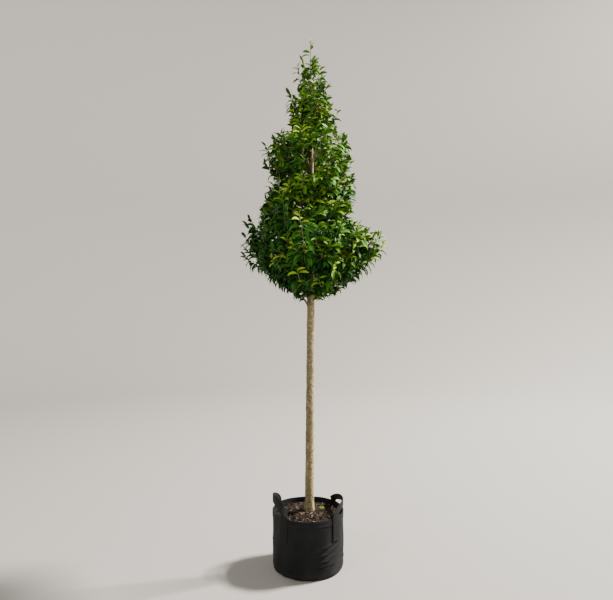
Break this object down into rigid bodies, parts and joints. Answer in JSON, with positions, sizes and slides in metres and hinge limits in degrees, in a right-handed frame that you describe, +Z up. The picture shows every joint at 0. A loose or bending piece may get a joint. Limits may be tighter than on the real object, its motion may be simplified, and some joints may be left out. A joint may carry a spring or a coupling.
{
  "type": "potted standard photinia",
  "caption": "Evergreen standard tree with a straight clear trunk, a dense spire-shaped crown of narrow glossy leaves, and a round black fabric tree bag with two strap handles.",
  "frame": {"origin": "centre of the bag's flat underside", "axes": "+Z up along the trunk; -Y towards the viewer of the front; +X to the viewer's right"},
  "size_m": [0.7611, 0.7553, 2.8335],
  "materials": {
    "bag_fabric": "matt black woven fabric, slightly dusty",
    "strap_webbing": "matt black webbing",
    "bark_mulch": "rough red-brown bark chips",
    "trunk_bark": "olive-brown bark with small pores",
    "bough_bark": "olive-brown young bark",
    "foliage": "glossy green leaves"
  },
  "bodies": {
    "root": {"bag": "bag_fabric", "handle_left": "strap_webbing", "handle_right": "strap_webbing", "soil": "bark_mulch", "trunk": "trunk_bark", "bough_lower_1": "bough_bark", "bough_lower_2": "bough_bark", "bough_lower_3": "bough_bark", "bough_lower_4": "bough_bark", "bough_lower_5": "bough_bark", "bough_lower_6": "bough_bark", "bough_middle_1": "bough_bark", "bough_middle_2": "bough_bark", "bough_middle_3": "bough_bark", "bough_middle_4": "bough_bark", "bough_middle_5": "bough_bark", "bough_upper_1": "bough_bark", "bough_upper_2": "bough_bark", "bough_upper_3": "bough_bark", "bough_upper_4": "bough_bark", "foliage_lower_1": "foliage", "foliage_lower_2": "foliage", "foliage_lower_3": "foliage", "foliage_lower_4": "foliage", "foliage_lower_5": "foliage", "foliage_lower_6": "foliage", "foliage_middle_1": "foliage", "foliage_middle_2": "foliage", "foliage_middle_3": "foliage", "foliage_middle_4": "foliage", "foliage_middle_5": "foliage", "foliage_upper_1": "foliage", "foliage_upper_2": "foliage", "foliage_upper_3": "foliage", "foliage_upper_4": "foliage", "foliage_high_1": "foliage", "foliage_high_2": "foliage", "foliage_high_3": "foliage", "foliage_high_4": "foliage", "foliage_crest_1": "foliage", "foliage_crest_2": "foliage", "foliage_crest_3": "foliage", "foliage_leading_shoot": "foliage"}
  },
  "joints": []
}
